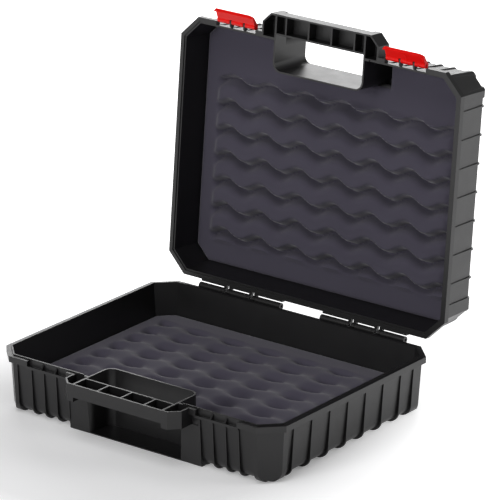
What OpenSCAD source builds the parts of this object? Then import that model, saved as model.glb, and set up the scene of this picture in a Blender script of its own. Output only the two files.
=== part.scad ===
// Hard tool case, two ribbed shells that open like a book, foam lined.
// Millimetres. X runs along the hinge, Y from the handle to the hinge, Z up.
// The origin is the centre of the footprint, on the floor the case stands on.

/* [Case] */
// Width over the rims, along the hinge
case_w = 384; // [300:1:460]
// Depth over the rims, without handle and hinges
case_d = 302; // [240:1:360]
// Height of the lower shell with its feet
base_h = 68; // [55:1:100]
// Height of the lid with its feet
lid_h = 62; // [52:1:90]
// Leg of the cut at each corner
corner_cut = 23; // [18:1:32]
// How far the lid swings back before it stops
open_angle = 95; // [90:1:105]

/* [Shell] */
// Thickness of the walls
wall_t = 2; // [1.6:0.1:3]
// Height of the rim flange
flange_h = 7; // [6:0.5:9]
// How far the rim flange stands out from the wall
flange_w = 4; // [3.5:0.5:6]
// How far the ribs, posts and corners lean in over the height of a shell
draft = 4; // [1:0.5:6]
// How far the walls lie behind the ribs under the rim
rib_step = 0.8; // [0.4:0.1:1.2]
// How much further the walls of the lower shell lean in than its ribs
base_relief = 2.5; // [0:0.5:4]
// How much further the walls of the lid lean in than its ribs
lid_relief = 0.5; // [0:0.5:4]
// Radius under the ribs of the lower shell
base_edge_r = 14; // [10:1:18]
// Radius under the ribs of the lid
lid_edge_r = 5; // [4.5:0.5:14]
// How far the feet stand out below the floor panel
foot_h = 3; // [2:0.5:4]
// Height of the tongue that closes the rim
tongue_h = 1.2; // [1:0.1:3]

/* [Ribs] */
// Thickness of a rib
rib_t = 2; // [1.5:0.1:3]
// Number of ribs on each side
side_ribs = 7; // [4:1:9]
// Number of ribs at each end of the front
front_ribs = 4; // [2:1:4]
// Number of ribs across the back
back_ribs = 11; // [5:1:13]

/* [Handle] */
// Width of the grip between its ears
grip_w = 120; // [100:1:140]
// Height of the grip in each shell
grip_h = 15; // [12:0.5:18]
// Depth of the grip, front to back
grip_d = 23.5; // [18:0.5:28]
// Depth of the finger opening behind the rim
recess_d = 41; // [30:1:55]
// Width of each ear beside the grip
ear_w = 19.5; // [14:0.5:22]
// Height of the ears in each shell
ear_h = 20; // [16:0.5:24]

/* [Hinges] */
// Radius of the hinge barrels
barrel_r = 4; // [3.5:0.1:4.5]
// Radius of the hinge and latch pins
pin_r = 1.5; // [1.2:0.1:1.8]
// Clear half width between the two hinges
hinge_in = 28; // [20:1:40]
// Length of one hinge
hinge_l = 115; // [100:1:122]

/* [Latches] */
// Width of a latch
latch_w = 52; // [46:1:58]
// Distance of each latch from the middle
latch_x = 116; // [112:1:122]
// How far the latches hang open at rest
latch_rest = 66; // [30:1:80]

/* [Foam] */
// Thickness of the lower pad at its flat border
base_pad_t = 26; // [18:1:30]
// Thickness of the lid pad at its flat border
lid_pad_t = 18; // [14:1:20]
// Length of a foam wave across the case
wave_x = 50; // [40:1:60]
// Length of a foam wave from front to back
wave_y = 30.5; // [26:0.5:36]
// Height of the foam waves
wave_a = 7; // [4:0.5:8]

/* [Hidden] */

$fn = 32;
over = 1;            // how far a cutting body runs past a face
black = [0.06, 0.06, 0.065];
red = [0.8, 0.05, 0.03];
steel = [0.55, 0.55, 0.57];
foam = [0.2, 0.19, 0.21];
seat_gap = 0.2;      // between two parts that rest on one another
run_gap = 0.4;       // beside a part that moves
pin_fit = 0.05;      // radial play of a pin in its bore
tongue_gap = 0.3;    // beside the tongue of the rim
tongue_t = 1.8;      // from the inner edge of the rim to the outer face of the tongue
tongue_set = 0.2;    // how far the tongue stands back from that edge

wall_inset = flange_w + rib_step;
inner_inset = wall_inset + wall_t;
root_inset = inner_inset - wall_t / 4; // where what stands on a wall is rooted
corner_r = 2.5;      // radius under the corner faces
least_r = 0.5;       // least radius at the floor of the room
post_w = 8;          // width of the corner posts on the front and the back
side_post_w = 11;    // width of the front corner posts on the sides
back_post_w = 17;    // width of the back corner posts on the sides
foot_reach = 36;     // how far the feet under the ribs run in from the wall
plate_t = 2;         // plate that closes the finger opening of the lower shell
foot_strip = 12;     // depth of the foot along the front wall beside that plate
foot_strip_r = 2;    // radius under that foot
front_rib_pitch = 17.3;
side_rib_shift = 0.3; // where the first rib of a side stands, in pitches
boss_r = 22;         // boss in the middle of the floor, level with the feet
cross_x = 90;        // half length of the stiffening cross
cross_y = 70;

grip_t = 2;          // walls of the grip and of its ears
ear_x = grip_w / 2;
ear_cut = 11;        // bevel of the outer corner of an ear
grip_set = 0.5;      // how far the back of the grip stands behind the rim's front edge
grip_back = -case_d / 2 + grip_set;
grip_y = grip_back - grip_d;
tongue_end = ear_x + 8;
recess_y = -case_d / 2 + recess_d;
recess_r = 9;        // back corners of the finger opening
mouth_r = 12;        // rounded corners where the front wall turns in
base_dividers = [-28, 4, 36];
lid_dividers = [-46.8, -15.6, 15.6, 46.8];

hinge_out = 7;       // from the rim to the hinge pins
hinge_y = case_d / 2 + hinge_out;
hinge_z = -1;
knuckle_w = 4;       // one leaf of a lid knuckle
knuckle_gap = 3;     // slot between the two leaves
knuckle_span = 2 * knuckle_w + knuckle_gap;
knuckle_share = [0.36, 0.67]; // where the lid's knuckles run along a hinge
knuckle_x = [for (share = knuckle_share) hinge_in + share * hinge_l];
knuckle_rise = 2;    // how much higher the arm of a knuckle stands at the rim
heel = [5, 3];       // depth of the open stop below the pin, at the rim and at the barrel
heel_top = 1;        // height of the open stop above the pin
pin_end = 2;         // how far a pin ends inside its barrel
gusset_tip = [3, -1.5]; // where a gusset ends, from the hinge pin
gusset_h = 22;       // height of the gussets that carry the barrels
gusset_inset = root_inset + (draft + base_relief) * gusset_h / (base_h - foot_h);

latch_pin_out = 2.5; // from the rim to the latch pins
latch_pin_y = -case_d / 2 - latch_pin_out;
latch_pin_z = 3.2;
latch_l = 16;        // from the pin to the free edge
latch_t = 2;         // thickness of the lever
latch_barrel_r = 3.7;
lug_x = [-7.6, 11.2];
lug_t = 2;
latch_gap = 1.5;     // beside a latch in its slot
catch_x = [latch_x - latch_w / 2 - latch_gap, latch_x + latch_w / 2 + latch_gap];
catch_side = 1.5;    // how far the bar is tied into the wall at both ends
catch_top = -6;      // top of the bar that the latch hooks
catch_bottom = -9;
catch_t = 1.8;
hook_d = 3.4;        // how far the free edge of a latch hooks in under the bar
hook_drop = [1.3, 2.1]; // how far the edges of the hook lie below the bar
lever_root = [0.4, 1]; // where the lever starts, in from the barrel and above the pin
// Outer face of the lever: out of its plane and above the free edge
lever_back = [[0.6, 1.2], [-0.6, 4], [-1.4, 8]];
lever_corner = 2;    // rounding of the left free corner of a latch
lever_sweep = 15;    // length of the swept right free corner
lever_drop = 5;      // height of the swept right free corner
leaf_w = 2.2;        // strip on the lid's rim that hides the barrels
leaf_h = 5;
lug_r = 3;

pad_gap = 0.3;       // between a pad and the walls round it
pad_fade = 8;        // over this the waves grow to their full height
pad_notch_w = ear_x + mouth_r + pad_gap;
pad_notch_y = recess_y + grip_t + pad_gap;
wave_cells = 4;      // cells of the foam's surface along one wave
wave_shift = [25, 26]; // where crests stand, from the middle
// The foam is flat outside this field
wave_field = [[-half_w(26), half_w(23)], [recess_y + 25, half_d(33)]];

// Half the width and depth of the case at an inset from the rim
function half_w(inset) = case_w / 2 - inset;
function half_d(inset) = case_d / 2 - inset;

// Corner leg that keeps the cut face at the same inset as the sides
function cut_leg(inset) = corner_cut - inset * (2 - sqrt(2));

// Distance of the corner faces from the middle
function half_corner(inset) = (half_w(inset) + half_d(inset) - cut_leg(inset)) / sqrt(2);

module octagon(inset) {
    w = half_w(inset);
    d = half_d(inset);
    c = cut_leg(inset);
    polygon([
        [-w + c, -d], [w - c, -d], [w, -d + c], [w, d - c],
        [w - c, d], [-w + c, d], [-w, d - c], [-w, -d + c]
    ]);
}

// Section of a shell: straight or leaning walls that turn under with a radius
module section_2d(top, bottom, depth, r) {
    lean = atan((top - bottom) / depth);
    cx = bottom + r * tan(lean) - r / cos(lean);
    steps = 6;
    arc = [for (i = [0:steps]) let (a = -lean - (90 - lean) * i / steps)
        [cx + r * cos(a), -depth + r + r * sin(a)]];
    polygon(concat(
        [[-top, 0], [top, 0]],
        arc,
        [for (i = [steps:-1:0]) [-arc[i][0], arc[i][1]]]
    ));
}

// Solid body of a shell below the parting plane, with an inset, a lean and an edge radius
module body(inset, lean, depth, r) {
    reach = 2 * (case_w + case_d);
    // each entry is a turn, the half width at the top and the radius under it
    sections = [
        [0, half_d(inset), r],
        [90, half_w(inset), r],
        [45, half_corner(inset), min(r, corner_r)],
        [-45, half_corner(inset), min(r, corner_r)]
    ];
    intersection_for(s = sections)
        rotate([90, 0, s[0] + 90])
            linear_extrude(reach, center = true)
                section_2d(s[1], s[1] - lean, depth, s[2]);
}

// A box given by its two opposite corners
module span(a, b) {
    translate([min(a[0], b[0]), min(a[1], b[1]), min(a[2], b[2])])
        cube([abs(b[0] - a[0]), abs(b[1] - a[1]), abs(b[2] - a[2])]);
}

// The same shape on the right and on the left
module both_sides() {
    children();
    mirror([1, 0, 0])
        children();
}

// Slabs that become the ribs once they are cut to the upright body
module rib_slabs(depth) {
    first = -case_d / 2 + corner_cut + side_post_w;
    last = case_d / 2 - corner_cut - back_post_w;
    pitch = (last - first) / side_ribs;
    for (i = [0:side_ribs - 1]) {
        y = first + pitch * (i + side_rib_shift);
        both_sides()
            span([half_w(foot_reach), y - rib_t / 2, -depth], [half_w(0), y + rib_t / 2, 0]);
    }
    for (i = [0:front_ribs - 1]) {
        x = latch_x - latch_w / 2 + i * front_rib_pitch;
        both_sides()
            span([x - rib_t / 2, -half_d(foot_reach), -depth], [x + rib_t / 2, -half_d(0), 0]);
    }
    back_pitch = (case_w - 2 * corner_cut - 2 * post_w) / (back_ribs + 1);
    for (i = [1:back_ribs]) {
        x = -half_w(corner_cut + post_w) + back_pitch * i;
        span([x - rib_t / 2, half_d(foot_reach), -depth], [x + rib_t / 2, half_d(0), 0]);
    }
}

// Upright posts beside each corner cut
module post_slabs(depth) {
    both_sides() {
        span(
            [half_w(foot_reach), -half_d(corner_cut), -depth],
            [half_w(0), -half_d(corner_cut + side_post_w), 0]
        );
        span(
            [half_w(foot_reach), half_d(corner_cut + back_post_w), -depth],
            [half_w(0), half_d(corner_cut), 0]
        );
        span(
            [half_w(corner_cut + post_w), -half_d(foot_reach), -depth],
            [half_w(corner_cut), -half_d(0), 0]
        );
        span(
            [half_w(corner_cut + post_w), half_d(foot_reach), -depth],
            [half_w(corner_cut), half_d(0), 0]
        );
    }
}

// Corner faces, upright, that end a little above the floor panel
module corner_blocks(depth) {
    for (sx = [-1, 1], sy = [-1, 1])
        span(
            [sx * half_w(corner_cut), sy * half_d(corner_cut), -depth],
            [sx * half_w(0), sy * half_d(0), 0]
        );
}

// Plan of the finger opening
module recess_2d(grow) {
    x = ear_x + grow;
    y = recess_y + grow;
    r = recess_r + grow;
    steps = 6;
    arc = [for (i = [0:steps]) let (a = 90 * i / steps)
        [x - r + r * cos(a), y - r + r * sin(a)]];
    polygon(concat(
        [[x, grip_y - over]],
        arc,
        [for (i = [steps:-1:0]) [-arc[i][0], arc[i][1]]],
        [[-x, grip_y - over]]
    ));
}

// Plan of the corner that is rounded off where the front wall turns in
module mouth_2d(grow) {
    r = mouth_r - grow;
    x = ear_x + mouth_r;
    y = -half_d(flange_w) + mouth_r;
    steps = 6;
    polygon(concat(
        [[ear_x - over, y], [ear_x - over, -half_d(-over)], [x, -half_d(-over)]],
        [for (i = [0:steps]) let (a = 270 - 90 * i / steps) [x + r * cos(a), y + r * sin(a)]]
    ));
}

// Everything of a shell that the two halves share, solid, before it is hollowed
module shell_solid(depth, relief, r) {
    panel = depth - foot_h;
    translate([0, 0, -flange_h])
        linear_extrude(flange_h)
            octagon(0);
    body(wall_inset, draft + relief, panel, r - foot_h);
    intersection() {
        body(flange_w, draft, depth, r);
        union() {
            rib_slabs(depth);
            post_slabs(depth);
        }
    }
    intersection() {
        body(flange_w, draft, panel, r - foot_h);
        corner_blocks(depth);
    }
    bottom_cross(depth);
}

// Foot under the finger opening and beside it, upright at the front
module front_foot(depth) {
    foot_x = latch_x - latch_w / 2;
    intersection() {
        body(wall_inset, draft, depth, foot_strip_r);
        union() {
            translate([0, 0, -depth])
                linear_extrude(foot_h + wall_t)
                    recess_2d(grip_t);
            span(
                [-foot_x, -half_d(0), -depth],
                [foot_x, -half_d(wall_inset + foot_strip), -ear_h]
            );
        }
    }
}

// Stiffening cross and boss under the floor panel, level with the feet
module bottom_cross(depth) {
    top = -depth + foot_h + over;
    span([-cross_x, -rib_t, -depth], [cross_x, rib_t, top]);
    span([-rib_t, -cross_y, -depth], [rib_t, cross_y, top]);
    translate([0, 0, -depth])
        cylinder(h = foot_h + over, r = boss_r);
}

// The room inside a shell, with the finger opening's walls left standing
module cavity(depth, relief, r) {
    room = depth - foot_h - wall_t;
    lean = (draft + relief) * room / (depth - foot_h);
    difference() {
        translate([0, 0, over])
            body(inner_inset - over * lean / room, lean * (1 + over / room), room + over,
                max(r - foot_h - wall_t, least_r));
        translate([0, 0, -depth])
            linear_extrude(depth + 2 * over)
                recess_2d(grip_t);
        translate([0, 0, -depth])
            linear_extrude(depth - ear_h)
                both_sides_2d()
                    mouth_2d(grip_t);
    }
}

module both_sides_2d() {
    children();
    mirror([1, 0])
        children();
}

// Grip and its two ears, solid
module handle_solid() {
    span([-ear_x - over, grip_y, -grip_h], [ear_x + over, grip_back, 0]);
    both_sides()
        translate([0, 0, -ear_h])
            linear_extrude(ear_h)
                ear_2d(0);
}

// The rooms inside the grip and its ears, open at the parting plane, with dividers between
module handle_rooms(dividers) {
    both_sides()
        translate([0, 0, -ear_h + grip_t])
            linear_extrude(ear_h)
                ear_2d(grip_t);
    difference() {
        span(
            [-ear_x + run_gap, grip_y + grip_t, -grip_h + grip_t],
            [ear_x - run_gap, grip_back - grip_t, over]
        );
        for (x = dividers)
            span([x - rib_t / 2, grip_y, -grip_h], [x + rib_t / 2, grip_back, 0]);
    }
}

// Plan of the right ear, cut at its outer front corner
module ear_2d(inset) {
    x0 = ear_x + inset;
    x1 = ear_x + ear_w - inset;
    y0 = grip_y + inset;
    y1 = -half_d(inset > 0 ? flange_w : inner_inset + over);
    c = ear_cut - inset * (2 - sqrt(2));
    polygon([[x0, y0], [x1 - c, y0], [x1, y0 + c], [x1, y1], [x0, y1]]);
}

// The finger opening itself, down to the given height above the feet
module recess_cut(depth, floor) {
    bottom = -depth + floor;
    translate([0, 0, bottom])
        linear_extrude(-bottom + over)
            difference() {
                recess_2d(0);
                translate([-case_w / 2, grip_y - 2 * over])
                    square([case_w, grip_back - grip_y + 2 * over]);
            }
    translate([0, 0, bottom])
        linear_extrude(-bottom - grip_h)
            recess_2d(0);
    translate([0, 0, bottom])
        linear_extrude(-bottom - ear_h)
            both_sides_2d()
                mouth_2d(0);
}

// Strip cut out of the front flange where a latch works
module latch_slot(top, bottom) {
    span([catch_x[0], -half_d(wall_inset), top], [catch_x[1], -half_d(-over), bottom]);
}

// Ring that stands up from the inner edge of the rim
module tongue() {
    difference() {
        translate([0, 0, -over])
            linear_extrude(tongue_h + over)
                difference() {
                    octagon(inner_inset - tongue_t);
                    octagon(inner_inset - tongue_set);
                }
        span([-tongue_end, -half_d(0), -2 * over], [tongue_end, recess_y, tongue_h + over]);
    }
}

// Long barrels on the lower shell, with gaps where the lid's knuckles run
module base_barrels() {
    x0 = hinge_in;
    x1 = hinge_in + hinge_l;
    free = knuckle_span / 2 + run_gap;
    difference() {
        union() {
            translate([x0, hinge_y, hinge_z])
                rotate([0, 90, 0])
                    cylinder(h = hinge_l, r = barrel_r);
            span([x0, half_d(flange_w), hinge_z - barrel_r], [x1, hinge_y, hinge_z]);
        }
        for (x = knuckle_x)
            span(
                [x - free, half_d(0), hinge_z - barrel_r - 2 * over],
                [x + free, hinge_y + barrel_r + over, barrel_r + over]
            );
    }
    // slanted gussets carry the barrels at both ends
    for (x = [x0, x1 - rib_t])
        translate([x, 0, 0])
            rotate([90, 0, 90])
                linear_extrude(rib_t)
                    polygon([
                        [half_d(gusset_inset), -gusset_h], [half_d(0), -gusset_h],
                        [hinge_y + gusset_tip[0], hinge_z + gusset_tip[1]], [hinge_y, hinge_z],
                        [half_d(root_inset), hinge_z]
                    ]);
}

module base_shell() {
    color(black)
    translate([0, 0, base_h])
    difference() {
        union() {
            difference() {
                union() {
                    shell_solid(base_h, base_relief, base_edge_r);
                    front_foot(base_h);
                    handle_solid();
                }
                cavity(base_h, base_relief, base_edge_r);
                handle_rooms(base_dividers);
                recess_cut(base_h, plate_t);
                both_sides()
                    latch_slot(over, -flange_h - over);
            }
            tongue();
            for (side = [-1, 1])
                catch_bar(side);
            both_sides()
                base_barrels();
        }
        both_sides()
            translate([hinge_in - over, hinge_y, hinge_z])
                rotate([0, 90, 0])
                    cylinder(h = hinge_l + 2 * over, r = pin_r + pin_fit);
    }
}

// The bar that a latch hooks, tied to the wall by its dividers
module catch_bar(side) {
    front = -half_d(0);
    x = [side * catch_x[0], side * catch_x[1]];
    span(
        [min(x) - catch_side, front, catch_top],
        [max(x) + catch_side, front + catch_t, catch_bottom]
    );
    for (end = [min(x) - catch_side, max(x) + catch_side - rib_t])
        span([end, front, catch_top], [end + rib_t, -half_d(root_inset), catch_bottom]);
    for (dx = lug_x)
        translate([side * latch_x + dx - lug_t / 2, 0, 0])
            rotate([90, 0, 90])
                linear_extrude(lug_t)
                    polygon([
                        [-half_d(root_inset), -seat_gap], [-half_d(wall_inset), -seat_gap],
                        [front, catch_top], [front, catch_bottom], [-half_d(root_inset), catch_bottom]
                    ]);
}

// Two thin leaves with an arm to the lid's rim and a heel that meets the rim at the open stop
module lid_knuckle() {
    for (side = [-1, 1])
        translate([side * (knuckle_w + knuckle_gap) / 2 - knuckle_w / 2, 0, 0])
            rotate([90, 0, 90])
                linear_extrude(knuckle_w)
                    difference() {
                        union() {
                            translate([hinge_y, hinge_z])
                                circle(r = barrel_r);
                            polygon([
                                [half_d(flange_w), seat_gap], [hinge_y, seat_gap],
                                [hinge_y, hinge_z + barrel_r],
                                [half_d(flange_w), hinge_z + barrel_r + knuckle_rise]
                            ]);
                            translate([hinge_y, hinge_z])
                                rotate(open_angle)
                                    polygon(heel_points());
                        }
                        translate([hinge_y, hinge_z])
                            circle(r = pin_r + pin_fit);
                    }
}

// The heel as it stands at the open stop, against the outer face of the lower rim
function heel_points() =
    let (face = seat_gap - hinge_out, root = heel_top - barrel_r)
    [[face, -heel[0]], [face, heel_top], [root, heel_top], [root, -heel[1]]];

// Lugs that hold a latch pin in front of the lid's wall
module latch_lugs(side) {
    for (dx = lug_x)
        translate([side * latch_x + dx - lug_t / 2, 0, 0])
            rotate([90, 0, 90])
                linear_extrude(lug_t)
                    difference() {
                        union() {
                            translate([latch_pin_y, latch_pin_z])
                                circle(r = lug_r);
                            translate([latch_pin_y, latch_pin_z - lug_r])
                                square([-half_d(flange_w) - seat_gap - latch_pin_y, 2 * lug_r]);
                            translate([latch_pin_y, tongue_h + 2 * tongue_gap])
                                square([-half_d(root_inset) - latch_pin_y, lug_r]);
                        }
                        translate([latch_pin_y, latch_pin_z])
                            circle(r = pin_r + pin_fit);
                    }
}

// Strip along the lid's rim, between the knuckles, that hides the barrels when the lid is open
module leaf() {
    difference() {
        span([hinge_in, half_d(over), seat_gap], [hinge_in + hinge_l, half_d(-leaf_w), leaf_h]);
        for (x = knuckle_x)
            span([x - knuckle_span / 2, half_d(0), 0], [x + knuckle_span / 2, hinge_y, flange_h]);
    }
}

// The lid as it lies on the lower shell, measured from the parting plane
module closed_lid() {
    difference() {
        translate([0, 0, seat_gap])
            mirror([0, 0, 1])
                difference() {
                    union() {
                        shell_solid(lid_h - seat_gap, lid_relief, lid_edge_r);
                        handle_solid();
                    }
                    cavity(lid_h - seat_gap, lid_relief, lid_edge_r);
                    handle_rooms(lid_dividers);
                    recess_cut(lid_h - seat_gap, -over);
                }
        // rebate that takes the tongue
        translate([0, 0, -over])
            linear_extrude(tongue_h + tongue_gap + over)
                difference() {
                    octagon(inner_inset - tongue_t - tongue_gap);
                    octagon(inner_inset + over);
                    translate([-tongue_end + tongue_gap, -half_d(0)])
                        square([2 * (tongue_end - tongue_gap), case_d / 2]);
                }
        both_sides()
            latch_slot(-over, latch_pin_z + latch_barrel_r + run_gap);
    }
    for (side = [-1, 1])
        latch_lugs(side);
    both_sides() {
        leaf();
        for (x = knuckle_x)
            translate([x, 0, 0])
                lid_knuckle();
    }
}

// Carries anything from its place on the closed lid to the open lid
module opened() {
    translate([0, hinge_y, base_h + hinge_z])
        rotate([-open_angle, 0, 0])
            translate([0, -hinge_y, -hinge_z])
                children();
}

module lid_shell() {
    color(black)
        opened()
            closed_lid();
}

module hinge_pin(side) {
    color(steel)
        translate([side * (hinge_in + hinge_l / 2), hinge_y, base_h + hinge_z])
            rotate([0, 90, 0])
                cylinder(h = hinge_l - 2 * pin_end, r = pin_r, center = true);
}

module hinge_pin_left() {
    hinge_pin(-1);
}

module hinge_pin_right() {
    hinge_pin(1);
}

module latch_pin(side) {
    color(steel)
        opened()
            translate([side * latch_x, latch_pin_y, latch_pin_z])
                rotate([0, 90, 0])
                    cylinder(h = latch_w - 2 * pin_end, r = pin_r, center = true);
}

module latch_pin_left() {
    latch_pin(-1);
}

module latch_pin_right() {
    latch_pin(1);
}

// Section of the lever of a latch that hangs closed from its pin, hooked in at the free edge
module lever_2d() {
    face = -half_d(0) - seat_gap - latch_pin_y;
    hook = catch_bottom - seat_gap - latch_pin_z;
    back = face - latch_t;
    polygon(concat(
        [
            [lever_root[0] - latch_barrel_r, lever_root[1]], [face, lever_root[1]], [face, hook],
            [face + hook_d, hook - hook_drop[0]], [face + hook_d, hook - hook_drop[1]],
            [face, -latch_l]
        ],
        [for (p = lever_back) [back + p[0], -latch_l + p[1]]]
    ));
}

// Outline of the free edge that is cut off a latch, swept at the right and rounded at the left
module free_edge_2d() {
    right = latch_w / 2;
    steps = 6;
    sweep = [for (i = [0:steps]) let (a = 90 * i / steps)
        [right - lever_sweep * (1 - sin(a)), -latch_l + lever_drop * (1 - cos(a))]];
    polygon(concat(sweep, [[right + over, -latch_l + lever_drop], [right + over, -latch_l - over],
        [right - lever_sweep, -latch_l - over]]));
    translate([-latch_w / 2 + lever_corner, -latch_l + lever_corner])
        difference() {
            translate([-lever_corner - over, -lever_corner - over])
                square(lever_corner + over);
            circle(r = lever_corner);
        }
}

// A latch hanging closed, its pin along X through the origin
module latch_body() {
    difference() {
        union() {
            rotate([0, 90, 0])
                cylinder(h = latch_w, r = latch_barrel_r, center = true);
            rotate([90, 0, 90])
                linear_extrude(latch_w, center = true)
                    lever_2d();
        }
        // slots round the lid's lugs
        for (dx = lug_x)
            translate([dx, 0, 0])
                span(
                    [-lug_t / 2 - run_gap, -latch_barrel_r - over, -lug_r - run_gap],
                    [lug_t / 2 + run_gap, latch_barrel_r + over, latch_barrel_r + over]
                );
        rotate([0, 90, 0])
            cylinder(h = latch_w + 2 * over, r = pin_r + pin_fit, center = true);
        rotate([90, 0, 0])
            linear_extrude(2 * latch_l, center = true)
                free_edge_2d();
    }
}

module latch(side) {
    color(red)
        opened()
            translate([side * latch_x, latch_pin_y, latch_pin_z])
                rotate([-latch_rest, 0, 0])
                    latch_body();
}

module latch_left() {
    latch(-1);
}

module latch_right() {
    latch(1);
}

// How far a place lies inside the field of waves
function field_depth(x, y) =
    min(x - wave_field[0][0], wave_field[0][1] - x, y - wave_field[1][0], wave_field[1][1] - y);

// Height of the foam above its flat border, waves that fade out at the edge of their field
function wave(x, y) =
    let (fade = max(0, min(1, field_depth(x, y) / pad_fade)))
    wave_a / 2 * fade
        * (cos(360 * (x - wave_shift[0]) / wave_x) + cos(360 * (y - wave_shift[1]) / wave_y));

// Front and back end of a pad at a place across its width
function pad_front(x, w, d, c) =
    abs(x) < pad_notch_w ? pad_notch_y : -d + max(0, abs(x) - w + c);
function pad_back(x, w, d, c) = d - max(0, abs(x) - w + c);

// Even steps from one end of the field of waves to the other
function wave_steps(ends, length) =
    let (n = round(wave_cells * (ends[1] - ends[0]) / length))
    [for (i = [0:n]) ends[0] + (ends[1] - ends[0]) * i / n];

// Places across a pad of half width w, from left to right, close at both sides of the notch
function pad_columns(w) =
    let (steps = wave_steps(wave_field[0], wave_x), n = pad_notch_w)
    concat(
        [-w], [for (x = steps) if (x < -n - over) x], [-n, -n + seat_gap],
        [for (x = steps) if (abs(x) < n - over) x], [n - seat_gap, n],
        [for (x = steps) if (x > n + over) x], [w]
    );

// Both ends of every column of a pad at an inset and a height, with the columns beside the
// notch drawn in or out to fit
function pad_ring(columns, inset, z) =
    let (
        w = half_w(inset), d = half_d(inset), c = cut_leg(inset), n = pad_notch_w,
        k = (w - n) / (columns[len(columns) - 1] - n)
    )
    [for (x = columns)
        let (x1 = abs(x) <= n ? x : sign(x) * (n + (abs(x) - n) * k))
        each [[x1, pad_front(x1, w, d, c), z], [x1, pad_back(x1, w, d, c), z]]];

// Two triangles between four points
function quad(a, b, c, d) = [[a, b, c], [a, c, d]];

// Foam block with waves on top that fills a shell to the given thickness, standing on its
// floor, built column by column from left to right
module pad(depth, relief, r, t) {
    room = depth - foot_h - wall_t;
    knee = max(r - foot_h - wall_t, least_r);
    lean = (draft + relief) / (depth - foot_h);
    least_inset = inner_inset + pad_gap;
    top_inset = least_inset + lean * (room - t);
    columns = pad_columns(half_w(top_inset));
    rings = [
        pad_ring(columns, top_inset, t),
        pad_ring(columns, least_inset + lean * (room - knee), knee),
        pad_ring(columns, least_inset + lean * room + knee, 0)
    ];
    ys = wave_steps(wave_field[1], wave_y);
    nx = len(columns) - 1;
    ny = len(ys) + 1;
    row = ny + 1;
    top = [for (i = [0:nx]) let (a = rings[0][2 * i], b = rings[0][2 * i + 1])
        each concat([a], [for (y = ys) [a[0], y, t + wave(a[0], y)]], [b])];
    n = len(top);
    m = 2 * (nx + 1);
    sheet = [for (i = [0:nx - 1], j = [0:ny - 1]) let (a = i * row + j)
        each quad(a, a + 1, a + row + 1, a + row)];
    skirt = [for (i = [0:nx - 1]) let (a = i * row, b = n + 2 * i)
        each concat(quad(a, a + row, b + 2, b), quad(a + row + ny, a + ny, b + 1, b + 3))];
    lower = [for (i = [0:nx - 1]) let (a = n + 2 * i, b = a + m)
        each concat(
            quad(a, a + 2, b + 2, b), quad(a + 3, a + 1, b + 1, b + 3), quad(b, b + 2, b + 3, b + 1)
        )];
    left = concat([for (j = [0:ny - 1]) [n, j + 1, j]], [[n, n + 1, ny]]);
    right = concat(
        [for (j = [0:ny - 1]) let (a = nx * row + j) [n + m - 2, a, a + 1]],
        [[n + m - 2, nx * row + ny, n + m - 1]]
    );
    left_foot = quad(n, n + m, n + m + 1, n + 1);
    right_foot = quad(n + m - 1, n + 2 * m - 1, n + 2 * m - 2, n + m - 2);
    polyhedron(
        concat(top, rings[1], rings[2]),
        concat(sheet, skirt, lower, left, right, left_foot, right_foot)
    );
}

module base_pad() {
    color(foam)
        translate([0, 0, foot_h + wall_t + seat_gap])
            pad(base_h, base_relief, base_edge_r, base_pad_t);
}

module lid_pad() {
    color(foam)
        opened()
            translate([0, 0, lid_h - foot_h - wall_t - seat_gap])
                mirror([0, 0, 1])
                    pad(lid_h, lid_relief, lid_edge_r, lid_pad_t);
}

base_shell();
lid_shell();
base_pad();
lid_pad();
hinge_pin_left();
hinge_pin_right();
latch_left();
latch_right();
latch_pin_left();
latch_pin_right();
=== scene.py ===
from math import cos, pi, radians, sin, sqrt

import bmesh
import bpy
from mathutils import Matrix, Vector


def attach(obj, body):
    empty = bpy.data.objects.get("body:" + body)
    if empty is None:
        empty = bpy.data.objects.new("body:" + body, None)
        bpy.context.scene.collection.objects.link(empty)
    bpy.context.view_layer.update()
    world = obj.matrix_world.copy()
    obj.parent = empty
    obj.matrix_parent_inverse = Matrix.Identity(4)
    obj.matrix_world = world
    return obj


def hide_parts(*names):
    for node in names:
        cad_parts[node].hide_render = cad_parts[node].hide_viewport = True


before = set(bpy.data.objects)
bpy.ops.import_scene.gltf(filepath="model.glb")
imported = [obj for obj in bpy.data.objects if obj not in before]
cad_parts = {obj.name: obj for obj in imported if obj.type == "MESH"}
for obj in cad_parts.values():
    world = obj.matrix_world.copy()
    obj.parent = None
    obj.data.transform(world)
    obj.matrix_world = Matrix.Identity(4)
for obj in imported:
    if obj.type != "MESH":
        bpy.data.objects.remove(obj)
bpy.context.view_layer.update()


# Lower shell: one moulding of black polypropylene with its ribs, rim, grip and hinge barrels.
# The satin grain of the mould shows on every face, and all its edges are slightly broken.

class Wire:
    """An outlet of a shader node that can be used in sums."""

    def __init__(self, shader, socket):
        self.shader = shader
        self.socket = socket

    def maths(self, operation, a, b):
        return self.shader.add("ShaderNodeMath", {"operation": operation}, {0: a, 1: b})

    def __add__(self, other):
        return self.maths("ADD", self, other)

    def __radd__(self, other):
        return self.maths("ADD", other, self)

    def __sub__(self, other):
        return self.maths("SUBTRACT", self, other)

    def __rsub__(self, other):
        return self.maths("SUBTRACT", other, self)

    def __mul__(self, other):
        return self.maths("MULTIPLY", self, other)

    def __rmul__(self, other):
        return self.maths("MULTIPLY", other, self)


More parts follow.
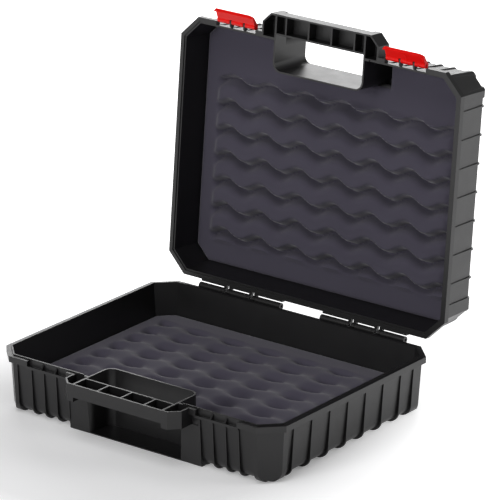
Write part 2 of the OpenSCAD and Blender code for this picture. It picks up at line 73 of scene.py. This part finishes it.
class Finish:
    """The node tree of one material, or of the room."""

    def __init__(self, name, shelf="materials"):
        self.material = getattr(bpy.data, shelf).new(name)
        self.material.use_nodes = True
        self.tree = self.material.node_tree
        self.tree.nodes.clear()
        self.place = self.add("ShaderNodeTexCoord", outlet="Object")

    def add(self, kind, settings=None, values=None, outlet=0):
        node = self.tree.nodes.new(kind)
        for key, value in (settings or {}).items():
            setattr(node, key, value)
        for key, value in (values or {}).items():
            if isinstance(value, Wire):
                self.tree.links.new(value.socket, node.inputs[key])
            else:
                node.inputs[key].default_value = value
        return Wire(self, node.outputs[outlet]) if len(node.outputs) else None

    def noise(self, scale, detail=3, roughness=0.5):
        return self.add("ShaderNodeTexNoise", None, {
            "Vector": self.place, "Scale": scale, "Detail": detail, "Roughness": roughness,
        }, "Fac")

    def between(self, mask, low, high):
        return self.add("ShaderNodeMix", {"data_type": "RGBA"}, {0: mask, 6: low, 7: high}, 2)

    def bump(self, height, strength, distance):
        return self.add("ShaderNodeBump", None, {
            "Strength": strength, "Distance": distance, "Height": height}, "Normal")

    def surface(self, **sockets):
        values = {name.replace("_", " "): value for name, value in sockets.items()}
        shader = self.add("ShaderNodeBsdfPrincipled", None, values)
        self.add("ShaderNodeOutputMaterial", None, {"Surface": shader})


black_low, black_high = (0.0042, 0.0040, 0.0043, 1), (0.0072, 0.0068, 0.0073, 1)
black = Finish("black_polypropylene")
mould_grain = black.noise(2600, 2)
flow_marks = black.noise(9, 4)
rub_marks = black.noise(60, 5, 0.65)
black.surface(
    Base_Color=black.between(flow_marks * 0.6 + rub_marks * 0.4, black_low, black_high),
    Roughness=0.33 + rub_marks * 0.14 + flow_marks * 0.06,
    Normal=black.bump(mould_grain, 0.16, 0.00012),
    Specular_IOR_Level=0.45,
)

same_point = 2e-6
no_length = 1e-6
still_flat = radians(0.4)
real_corner = radians(38)
still_smooth = radians(32)


def broken_edges(name, node, radius, segments):
    """A copy of a CAD node, its flat faces made whole and its edges rounded."""
    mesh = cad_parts[node].data.copy()
    mesh.name = name
    shape = bmesh.new()
    shape.from_mesh(mesh)
    bmesh.ops.remove_doubles(shape, verts=shape.verts, dist=same_point)
    bmesh.ops.dissolve_limit(
        shape, angle_limit=still_flat, verts=shape.verts, edges=shape.edges, delimit=set())
    corners = [e for e in shape.edges
               if len(e.link_faces) == 2 and e.calc_face_angle(0) > real_corner]
    bmesh.ops.bevel(
        shape, geom=corners, offset=radius, offset_type="OFFSET", segments=segments,
        profile=0.5, affect="EDGES", clamp_overlap=True, material=-1)
    bmesh.ops.dissolve_degenerate(shape, dist=no_length, edges=shape.edges)
    for face in shape.faces:
        face.smooth = True
    for edge in shape.edges:
        edge.smooth = len(edge.link_faces) == 2 and edge.calc_face_angle(0) < still_smooth
    shape.to_mesh(mesh)
    shape.free()
    mesh.materials.clear()
    piece = bpy.data.objects.new(name, mesh)
    bpy.context.scene.collection.objects.link(piece)
    flats = piece.modifiers.new("flats_shade_flat", "WEIGHTED_NORMAL")
    flats.mode = "FACE_AREA"
    flats.keep_sharp = True
    return piece


shell_edge = 0.0004

lower = broken_edges("lower_shell", "base_shell", shell_edge, 2)
lower.data.materials.append(black.material)
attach(lower, "base")
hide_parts("base_shell")


# Pins: two rods of drawn wire through the long hinge barrels and the knuckles of the lid, and a
# short one through each latch. Only their ends show.

wire_dark, wire_light = (0.28, 0.28, 0.29, 1), (0.36, 0.36, 0.37, 1)
wire = Finish("drawn_wire")
draw_marks = wire.noise(900, 2)
wire.surface(
    Base_Color=wire.between(draw_marks, wire_dark, wire_light),
    Roughness=0.3 + draw_marks * 0.15,
    Metallic=1.0,
)
for pin in ("hinge_pin_left", "hinge_pin_right", "latch_pin_left", "latch_pin_right"):
    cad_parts[pin].data.materials.clear()
    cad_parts[pin].data.materials.append(wire.material)


# Lower foam: an open cell pad, loose in the shell, with a flat border, wave ridges across the
# middle and a piece cut out round the finger opening.

foam_low, foam_high = (0.054, 0.049, 0.069, 1), (0.078, 0.071, 0.099, 1)
foam = Finish("dark_foam")
pores = foam.noise(2200, 3)
clouds = foam.noise(14, 3)
foam.surface(
    Base_Color=foam.between(pores * 0.5 + clouds * 0.5, foam_low, foam_high),
    Roughness=0.93,
    Normal=foam.bump(pores, 0.35, 0.0003),
    Specular_IOR_Level=0.25,
    Sheen_Weight=0.25,
    Sheen_Roughness=0.5,
)

room_half_width, room_half_depth, room_corner = 0.192, 0.151, 0.320
foam_cell = 0.0022
wave_length, row_pitch = 0.0503, 0.0303
waves_left, waves_right, waves_front, waves_back = -0.166, 0.169, -0.085, 0.118
waves_fade = 0.011
pit_narrow_across, pit_narrow_along = 2.2, 1.8
notch_half, notch_back = 0.0723, -0.1077
edge_round, edge_sag = 0.003, 0.6
foam_same_point = 2e-5
foam_smooth = radians(40)


class Outline:
    """The room inside a shell's walls, an octagon, drawn in by inset to where the foam ends."""

    def __init__(self, inset):
        self.width = room_half_width - inset
        self.depth = room_half_depth - inset
        self.corner = room_corner - sqrt(2) * inset
        self.leg = self.width + self.depth - self.corner

    def margin(self, x, y):
        """How far a place lies inside the foam's edge."""
        to_corner = (self.corner - abs(x) - abs(y)) / sqrt(2)
        to_wall = min(self.width - abs(x), self.depth - abs(y), to_corner)
        to_notch = max(abs(x) - notch_half, y - notch_back)
        return max(0.0, min(to_wall, to_notch))

    def drawn_in(self, place, inset):
        """A place on the edge, moved in where the walls lean in below it."""
        x = min(abs(place.x), self.width - inset)
        y = min(abs(place.y), self.depth - inset)
        past = max(0.0, x + y - self.corner + sqrt(2) * inset) / 2
        return (x - past) * (1 if place.x > 0 else -1), (y - past) * (1 if place.y > 0 else -1)


def waves(x, y, sway_at, row_at, pit_at, row_height, sway, pit_depth, slant):
    """Height over the flat border: slanting rows that sway sideways, a pit in each bend."""
    inside = min(x - waves_left, waves_right - x, y - waves_front, waves_back - y)
    fade = max(0.0, min(1.0, inside / waves_fade))
    across = 2 * pi * (x - sway_at) / wave_length
    along = 2 * pi * (y - row_at + sway * cos(across)) / row_pitch
    row = cos(along + slant * (1 - cos(along)))
    down = 2 * pi * (y - pit_at) / row_pitch
    pit = (((1 + cos(across)) / 2) ** pit_narrow_across
           * ((1 + cos(down)) / 2) ** pit_narrow_along)
    return fade * fade * (3 - 2 * fade) * (row_height * row - pit_depth * pit)


def cut(pad, point, normal, clear_outer=False):
    bmesh.ops.bisect_plane(
        pad, geom=pad.verts[:] + pad.edges[:] + pad.faces[:], dist=no_length,
        plane_co=point, plane_no=normal, clear_outer=clear_outer)


def foam_pad(outline, thick, sides, **wave):
    """A sheet cut to the outline and raised into waves, with sides that follow the walls.

    Each step of the sides gives a height and how far the wall has leaned in there.
    """
    pad = bmesh.new()
    bmesh.ops.create_grid(
        pad, x_segments=round(2 * outline.width / foam_cell),
        y_segments=round(2 * outline.depth / foam_cell),
        size=1, matrix=Matrix.Diagonal((outline.width, outline.depth, 1, 1)))
    for sx in (-1, 1):
        for sy in (-1, 1):
            corner = (sx * outline.width, sy * (outline.depth - outline.leg), 0)
            cut(pad, corner, (sx, sy, 0), clear_outer=True)
    cut(pad, (-notch_half, 0, 0), (1, 0, 0))
    cut(pad, (notch_half, 0, 0), (1, 0, 0))
    cut(pad, (0, notch_back, 0), (0, 1, 0))
    notch = [f for f in pad.faces if abs(f.calc_center_median().x) < notch_half
             and f.calc_center_median().y < notch_back]
    bmesh.ops.delete(pad, geom=notch, context="FACES")
    top = pad.verts[:]
    for height, inset in sides:
        rim = [e for e in pad.edges if e.is_boundary]
        skirt = bmesh.ops.extrude_edge_only(pad, edges=rim)["geom"]
        for v in skirt:
            if isinstance(v, bmesh.types.BMVert):
                v.co.x, v.co.y = outline.drawn_in(v.co, inset)
                v.co.z = height
    for v in top:
        into_round = max(0.0, edge_round - outline.margin(v.co.x, v.co.y))
        drop = edge_round - sqrt(edge_round ** 2 - into_round ** 2)
        v.co.z = thick - edge_sag * drop + waves(v.co.x, v.co.y, **wave)
    bmesh.ops.remove_doubles(pad, verts=pad.verts, dist=foam_same_point)
    bmesh.ops.triangle_fill(
        pad, edges=[e for e in pad.edges if e.is_boundary], use_beauty=True, normal=(0, 0, -1))
    bmesh.ops.triangulate(pad, faces=[f for f in pad.faces if len(f.verts) > 4])
    bmesh.ops.recalc_face_normals(pad, faces=pad.faces)
    return pad


def place_foam(pad, name, node, body):
    for face in pad.faces:
        face.smooth = True
    for edge in pad.edges:
        edge.smooth = edge.calc_face_angle(0) < foam_smooth
    mesh = bpy.data.meshes.new(name)
    pad.to_mesh(mesh)
    pad.free()
    mesh.materials.append(foam.material)
    piece = bpy.data.objects.new(name, mesh)
    bpy.context.scene.collection.objects.link(piece)
    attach(piece, body)
    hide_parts(node)


lower_floor = 0.0052

lower_pad = foam_pad(
    Outline(inset=0.0110), thick=0.026, sides=((0.009, 0.0018), (0.002, 0.0068), (0, 0.0115)),
    sway_at=-0.0080, row_at=0.0060, pit_at=0.0215,
    row_height=0.0012, sway=0.0036, pit_depth=0.0120, slant=0.3)
bmesh.ops.translate(lower_pad, verts=lower_pad.verts, vec=(0, 0, lower_floor))
place_foam(lower_pad, "lower_foam", "base_pad", "base")


# Lid: the upper shell, the same black moulding, with its ribs, latch lugs and half of the grip.
# Its knuckles turn on the hinge rods, and a heel beside them stops it as it stands open.

upper = broken_edges("upper_shell", "lid_shell", shell_edge, 2)
upper.data.materials.append(black.material)
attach(upper, "lid")
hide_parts("lid_shell")


# Lid foam: a thinner pad of the same foam with steeper waves, lying under the top of the lid.
# It is made as it lies in the closed case, and turned back with the lid.

rim_height = 0.068
lid_room = 0.0568
hinge_line = Vector((0, 0.158, 0.067))
opened = Matrix.Rotation(radians(-95), 4, "X")

upper_pad = foam_pad(
    Outline(inset=0.0103), thick=0.018, sides=((0.0005, 0.0014), (0, 0.0019)),
    sway_at=-0.1430, row_at=-0.0840, pit_at=-0.0790,
    row_height=0.0078, sway=0.0038, pit_depth=0.0045, slant=0.95)
bmesh.ops.scale(upper_pad, verts=upper_pad.verts, vec=(1, 1, -1))
bmesh.ops.recalc_face_normals(upper_pad, faces=upper_pad.faces)
bmesh.ops.translate(upper_pad, verts=upper_pad.verts, vec=(0, 0, rim_height + lid_room))
bmesh.ops.rotate(upper_pad, verts=upper_pad.verts, cent=hinge_line, matrix=opened)
place_foam(upper_pad, "upper_foam", "lid_pad", "lid")


# Latches: two glossy red levers that turn on pins in the lid's lugs. Their free edges curl out
# for the fingers, and their hooks catch the bar on the lower rim.

latch_edge = 0.0006
red_low, red_high = (0.86, 0.004, 0.003, 1), (0.97, 0.008, 0.005, 1)
red = Finish("red_gloss")
depths = red.noise(40, 3)
red.surface(
    Base_Color=red.between(depths, red_low, red_high),
    Roughness=0.24 + depths * 0.08,
    Specular_IOR_Level=0.22,
)
for side in ("left", "right"):
    latch = broken_edges("latch_lever_" + side, "latch_" + side, latch_edge, 3)
    latch.data.materials.append(red.material)
    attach(latch, "latch_" + side)
    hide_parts("latch_" + side)


# Studio floor: a sheet of pale paper, lit by the lamps, that keeps the case's shadow close to
# it.
# Over that it has a painted glow for the camera and in reflections, without lighting the case:
# a painted shadow, dimmest round the case, that runs out to white further off.

def looked_at(paint, kinds):
    """1 for rays of these kinds, such as the camera's or a reflection's, and 0 for the rest."""
    seen = paint.add("ShaderNodeLightPath", outlet=kinds[0])
    for kind in kinds[1:]:
        seen = seen.maths("MAXIMUM", seen, paint.add("ShaderNodeLightPath", outlet=kind))
    return seen


# Painted shadow in the floor's glow: where its middle lies, how far it reaches, how dim it is.
painted_shadow_middle = (-0.03, -0.12, 0)
painted_shadow_reach, painted_shadow_glow = 0.2, 0.16
white_from = 0.42
nothing, white = (0, 0, 0, 1), (1, 1, 1, 1)

paper = Finish("pale_floor")
seen_floor = looked_at(paper, ("Is Camera Ray", "Is Glossy Ray", "Is Transmission Ray"))
distance = paper.add("ShaderNodeVectorMath", {"operation": "DISTANCE"}, {
    0: paper.place, 1: painted_shadow_middle}, "Value")
# Painted glow: dim at the painted shadow's middle, growing to white further off.
painted_glow_by_distance = paper.add("ShaderNodeMapRange", None, {
    "Value": distance, "From Min": painted_shadow_reach, "From Max": white_from,
    "To Min": painted_shadow_glow, "To Max": 1.0}, "Result")
# The emission is the painted glow and painted shadow, seen by the camera and in reflections
# only.
paper.surface(
    Base_Color=(0.93, 0.93, 0.94, 1),
    Roughness=0.9,
    Specular_IOR_Level=0.1,
    Emission_Color=paper.between(seen_floor * painted_glow_by_distance, nothing, white),
    Emission_Strength=1.0,
)
floor_half = 8
floor_mesh = bpy.data.meshes.new("floor")
sheet = bmesh.new()
bmesh.ops.create_grid(sheet, x_segments=1, y_segments=1, size=floor_half)
sheet.to_mesh(floor_mesh)
sheet.free()
floor_mesh.materials.append(paper.material)
floor = bpy.data.objects.new("floor", floor_mesh)
bpy.context.scene.collection.objects.link(floor)


# Studio room: soft lights above the front edge, in front, on the right and behind on the left.
# The room itself is white to the camera and low down in reflections, and gives a little light.

def soft_light(name, place, target, size, power):
    lamp = bpy.data.lights.new(name, "AREA")
    lamp.shape = "RECTANGLE"
    lamp.size, lamp.size_y = size
    lamp.energy = power
    holder = bpy.data.objects.new(name, lamp)
    holder.location = place
    holder.rotation_euler = (Vector(target) - Vector(place)).to_track_quat("-Z", "Y").to_euler()
    bpy.context.scene.collection.objects.link(holder)


soft_light("top_light", (0.1, -1.0, 2.5), target=(0, 0.05, 0.1), size=(2.0, 1.4), power=17)
soft_light("front_light", (-0.2, -2.9, 1.3), target=(0, 0.1, 0.2), size=(1.5, 1.0), power=38)
soft_light("side_light", (2.5, 1.7, 1.7), target=(0.1, 0.1, 0.1), size=(1.8, 1.4), power=24)
soft_light("back_light", (-1.9, 2.6, 1.2), target=(0, 0.1, 0.25), size=(2.4, 1.4), power=44)

room_light = 0.14
horizon_top, horizon_edge = 0.22, 8.0

room = Finish("room", "worlds")
looking = room.add("ShaderNodeTexCoord", outlet="Generated")
height = room.add("ShaderNodeSeparateXYZ", None, {"Vector": looking}, "Z")
near_horizon = room.add("ShaderNodeClamp", None, {
    "Value": (horizon_top - height) * horizon_edge})
backdrop = looked_at(room, ("Is Camera Ray", "Is Transmission Ray"))
mirrored = looked_at(room, ("Is Glossy Ray",)) * near_horizon
walls = room.add("ShaderNodeBackground", None, {
    "Color": white,
    "Strength": room_light + (1 - room_light) * backdrop.maths("MAXIMUM", backdrop, mirrored),
})
room.add("ShaderNodeOutputWorld", None, {"Surface": walls})
bpy.context.scene.world = room.material
bpy.context.scene.view_settings.view_transform = "Standard"


# Camera: a long lens from the front right, as far off and as high as the photograph's own. It
# is turned by its heading, its dip and a slight roll.

lens = bpy.data.cameras.new("camera")
lens.sensor_width = 36
lens.lens = 315.9
lens.clip_end = 100
camera = bpy.data.objects.new("camera", lens)
standpoint = (2.7283, -3.5652, 1.8045)
yaw, pitch, roll = 0.645, 0.346, 0.007
ahead = Vector((-sin(yaw) * cos(pitch), cos(yaw) * cos(pitch), -sin(pitch)))
right = Vector((cos(yaw), sin(yaw), 0))
up = right.cross(ahead)
tilted_right = cos(roll) * right + sin(roll) * up
tilted_up = -sin(roll) * right + cos(roll) * up
turn = Matrix((tilted_right, tilted_up, -ahead)).transposed().to_4x4()
camera.matrix_world = Matrix.Translation(standpoint) @ turn
bpy.context.scene.collection.objects.link(camera)
bpy.context.scene.camera = camera
